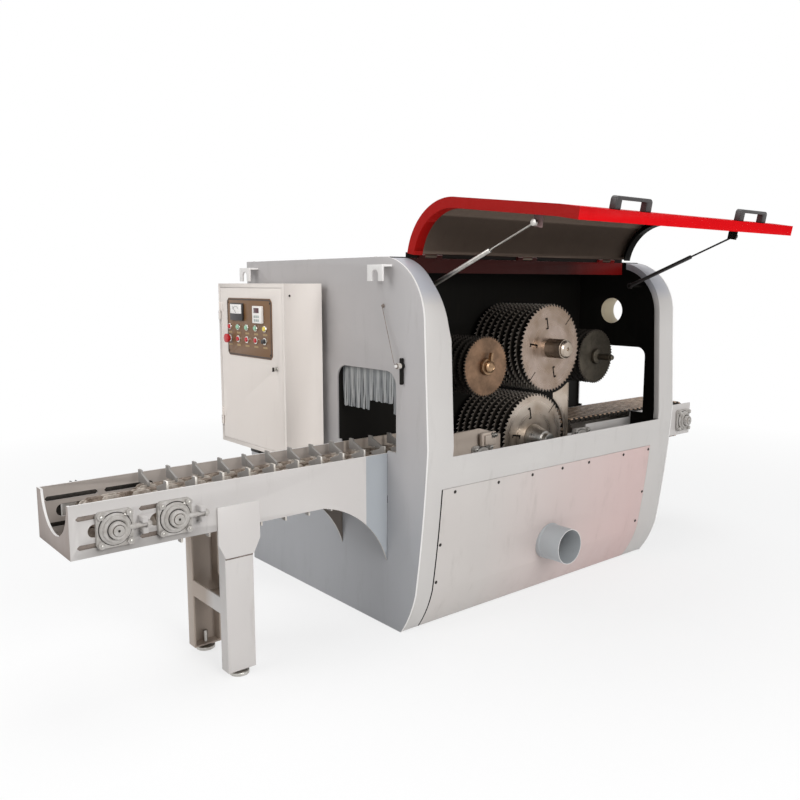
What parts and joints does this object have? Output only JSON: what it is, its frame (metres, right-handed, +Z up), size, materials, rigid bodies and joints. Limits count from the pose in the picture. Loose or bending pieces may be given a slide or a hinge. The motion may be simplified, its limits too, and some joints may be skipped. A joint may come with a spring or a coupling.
{
  "type": "multi-rip saw",
  "caption": "Multi-rip saw with a grey sheet-metal housing, red lid propped open over two blade stacks, chain infeed with V-flights on a stand, outfeed chain and electric cabinet.",
  "frame": {"origin": "On the floor under the housing, 810 mm from its infeed end, on the underside of the middle base bar.", "axes": "+X is the feed direction from infeed to outfeed, -Y is the side with the lid, +Z is up."},
  "size_m": [3.4621, 1.9541, 1.7108],
  "materials": {
    "light_paint": "satin",
    "red_paint": "satin",
    "cream_paint": "satin",
    "dark_paint": "satin",
    "panel_brown": "satin",
    "steel": "brushed",
    "blade_steel": "brushed",
    "bronze_steel": "brushed",
    "chain_steel": "oiled",
    "cast_iron": "machined",
    "black_plastic": "matte",
    "red_plastic": "gloss",
    "belt_rubber": "matte",
    "strip_rubber": "translucent grey"
  },
  "bodies": {
    "machine": {"infeed_end_plate": "light_paint", "outfeed_end_plate": "light_paint", "front_skin": "light_paint", "lower_front_panel": "light_paint", "dust_port": "light_paint", "top_cover": "light_paint", "back_panel": "light_paint", "machine_frame": "dark_paint", "hinge_rail": "red_paint", "arbor_housings": "dark_paint", "drive_motors": "dark_paint", "drive_belts": "belt_rubber", "infeed_trough": "light_paint", "plain_chain": "chain_steel", "flight_chain": "chain_steel", "chain_flights": "chain_steel", "infeed_stand": "light_paint", "outfeed_trough": "light_paint", "outfeed_chain": "chain_steel", "riving_plate": "blade_steel", "fixed_bearing_units": "light_paint", "cabinet_box": "cream_paint"},
    "lid": {"lid_shell": "red_paint", "lid_handles": "black_plastic"},
    "left_strut": {"left_strut_tube": "steel"},
    "left_rod": {"left_strut_rod": "steel"},
    "right_strut": {"right_strut_tube": "steel"},
    "right_rod": {"right_strut_rod": "steel"},
    "upper_arbor": {"upper_arbor_shaft": "steel", "upper_arbor_cap": "steel", "upper_blades": "blade_steel"},
    "lower_arbor": {"lower_arbor_shaft": "steel", "lower_arbor_nut": "steel", "lower_blades": "blade_steel"},
    "upper_motor": {"upper_motor_pulley": "cast_iron"},
    "lower_motor": {"lower_motor_pulley": "cast_iron"},
    "front_press": {"front_press_arm": "dark_paint"},
    "front_wheels": {"front_press_wheels": "bronze_steel"},
    "rear_press": {"rear_press_arm": "dark_paint"},
    "rear_wheels": {"rear_press_wheels": "bronze_steel"},
    "idler_take_up": {"idler_bearing_units": "light_paint"},
    "idler": {"idler_shaft": "steel"},
    "tail_take_up": {"tail_bearing_units": "light_paint"},
    "tail": {"tail_shaft": "steel"},
    "head": {"head_shaft": "steel"},
    "outfeed_tail": {"outfeed_tail_shaft": "steel"},
    "outfeed_head": {"outfeed_head_shaft": "steel"},
    "door": {"cabinet_door": "cream_paint", "control_panel": "panel_brown", "panel_instruments": "black_plastic"},
    "emergency": {"emergency_stop": "red_plastic"},
    "stop_1": {"stop_button_1": "red_plastic"},
    "stop_2": {"stop_button_2": "red_plastic"},
    "stop_3": {"stop_button_3": "red_plastic"},
    "selector": {"selector_knob": "black_plastic"},
    "lock": {"door_lock": "steel"},
    "near_foot": {"near_levelling_foot": "light_paint"},
    "far_foot": {"far_levelling_foot": "light_paint"},
    "lever": {"swing_lever": "black_plastic"},
    "curtain": {"strip_curtain": "strip_rubber"}
  },
  "joints": [
    {"name": "lid_hinge", "type": "hinge", "parent": "machine", "child": "lid", "pos_m": [-0.027, -0.446, 1.505], "axis": [1, 0, 0], "range_deg": [0, 79.8]},
    {"name": "left_strut_swing", "type": "hinge", "parent": "machine", "child": "left_strut", "pos_m": [-0.655, -0.51, 1.384], "axis": [1, 0, 0], "range_deg": [0, 95.34]},
    {"name": "left_rod_slide", "type": "slide", "parent": "left_strut", "child": "left_rod", "axis": [0, 0.9248, -0.3804], "range_m": [0, 0.10621]},
    {"name": "right_strut_swing", "type": "hinge", "parent": "machine", "child": "right_strut", "pos_m": [0.66, -0.51, 1.384], "axis": [1, 0, 0], "range_deg": [0, 95.34]},
    {"name": "right_rod_slide", "type": "slide", "parent": "right_strut", "child": "right_rod", "axis": [0, 0.9248, -0.3804], "range_m": [0, 0.10621]},
    {"name": "upper_arbor_spin", "type": "hinge", "parent": "machine", "child": "upper_arbor", "pos_m": [0.165, -0.2, 1.097], "axis": [0, 1, 0], "continuous": true},
    {"name": "lower_arbor_spin", "type": "hinge", "parent": "machine", "child": "lower_arbor", "pos_m": [0.06, -0.2, 0.686], "axis": [0, 1, 0], "continuous": true},
    {"name": "upper_motor_spin", "type": "hinge", "parent": "machine", "child": "upper_motor", "pos_m": [-0.43, 0.3, 1.15], "axis": [0, 1, 0], "continuous": true},
    {"name": "lower_motor_spin", "type": "hinge", "parent": "machine", "child": "lower_motor", "pos_m": [-0.43, 0.3, 0.4], "axis": [0, 1, 0], "continuous": true},
    {"name": "front_press_swing", "type": "hinge", "parent": "machine", "child": "front_press", "pos_m": [-0.33, -0.092, 1.2], "axis": [0, -1, 0], "range_deg": [0, 20]},
    {"name": "front_wheel_spin", "type": "hinge", "parent": "front_press", "child": "front_wheels", "pos_m": [-0.262, -0.3, 1.038], "axis": [0, 1, 0], "continuous": true},
    {"name": "rear_press_swing", "type": "hinge", "parent": "machine", "child": "rear_press", "pos_m": [0.439, -0.092, 1.201], "axis": [0, -1, 0], "range_deg": [0, 20]},
    {"name": "rear_wheel_spin", "type": "hinge", "parent": "rear_press", "child": "rear_wheels", "pos_m": [0.507, -0.3, 1.039], "axis": [0, 1, 0], "continuous": true},
    {"name": "idler_take_up_slide", "type": "slide", "parent": "machine", "child": "idler_take_up", "axis": [1, 0, 0], "range_m": [0, 0.02]},
    {"name": "idler_spin", "type": "hinge", "parent": "idler_take_up", "child": "idler", "pos_m": [-1.915, -0.27, 0.634], "axis": [0, 1, 0], "continuous": true},
    {"name": "tail_take_up_slide", "type": "slide", "parent": "machine", "child": "tail_take_up", "axis": [1, 0, 0], "range_m": [0, 0.02]},
    {"name": "tail_spin", "type": "hinge", "parent": "tail_take_up", "child": "tail", "pos_m": [-1.715, -0.27, 0.634], "axis": [0, 1, 0], "continuous": true},
    {"name": "head_spin", "type": "hinge", "parent": "machine", "child": "head", "pos_m": [-0.285, -0.27, 0.634], "axis": [0, 1, 0], "continuous": true},
    {"name": "outfeed_tail_spin", "type": "hinge", "parent": "machine", "child": "outfeed_tail", "pos_m": [0.4, -0.27, 0.634], "axis": [0, 1, 0], "continuous": true},
    {"name": "outfeed_head_spin", "type": "hinge", "parent": "machine", "child": "outfeed_head", "pos_m": [1.31, -0.27, 0.634], "axis": [0, 1, 0], "continuous": true},
    {"name": "door_hinge", "type": "hinge", "parent": "machine", "child": "door", "pos_m": [-1.028, 0.54125, 1.028], "axis": [0, 0, -1], "range_deg": [0, 110]},
    {"name": "emergency_press", "type": "slide", "parent": "door", "child": "emergency", "axis": [1, 0, 0], "range_m": [0, 0.004], "stiffness_N_per_m": 800},
    {"name": "stop_1_press", "type": "slide", "parent": "door", "child": "stop_1", "axis": [1, 0, 0], "range_m": [0, 0.004], "stiffness_N_per_m": 600},
    {"name": "stop_2_press", "type": "slide", "parent": "door", "child": "stop_2", "axis": [1, 0, 0], "range_m": [0, 0.004], "stiffness_N_per_m": 600},
    {"name": "stop_3_press", "type": "slide", "parent": "door", "child": "stop_3", "axis": [1, 0, 0], "range_m": [0, 0.004], "stiffness_N_per_m": 600},
    {"name": "selector_turn", "type": "hinge", "parent": "door", "child": "selector", "pos_m": [-1.04, 0.136, 1.15], "axis": [1, 0, 0], "range_deg": [0, 90]},
    {"name": "lock_turn", "type": "hinge", "parent": "door", "child": "lock", "pos_m": [-1.02, 0.049, 1.038], "axis": [1, 0, 0], "range_deg": [0, 90]},
    {"name": "near_foot_adjust", "type": "slide", "parent": "machine", "child": "near_foot", "axis": [0, 0, -1], "range_m": [0, 0.02]},
    {"name": "far_foot_adjust", "type": "slide", "parent": "machine", "child": "far_foot", "axis": [0, 0, -1], "range_m": [0, 0.02]},
    {"name": "lever_swing", "type": "hinge", "parent": "machine", "child": "lever", "pos_m": [-0.818, -0.53, 1.084], "axis": [1, 0, 0], "range_deg": [-40, 40]},
    {"name": "curtain_swing", "type": "hinge", "parent": "machine", "child": "curtain", "pos_m": [-0.786, -0.287, 1.066], "axis": [0, -1, 0], "range_deg": [0, 70]}
  ],
  "couplings": [
    {"joint": "left_strut_swing", "follows": "lid_hinge", "ratio": 1.1947},
    {"joint": "left_rod_slide", "follows": "lid_hinge", "m_per_rad": 0.076251},
    {"joint": "right_strut_swing", "follows": "lid_hinge", "ratio": 1.1947},
    {"joint": "right_rod_slide", "follows": "lid_hinge", "m_per_rad": 0.076251},
    {"joint": "upper_motor_spin", "follows": "upper_arbor_spin", "ratio": 1},
    {"joint": "lower_motor_spin", "follows": "lower_arbor_spin", "ratio": 1}
  ]
}
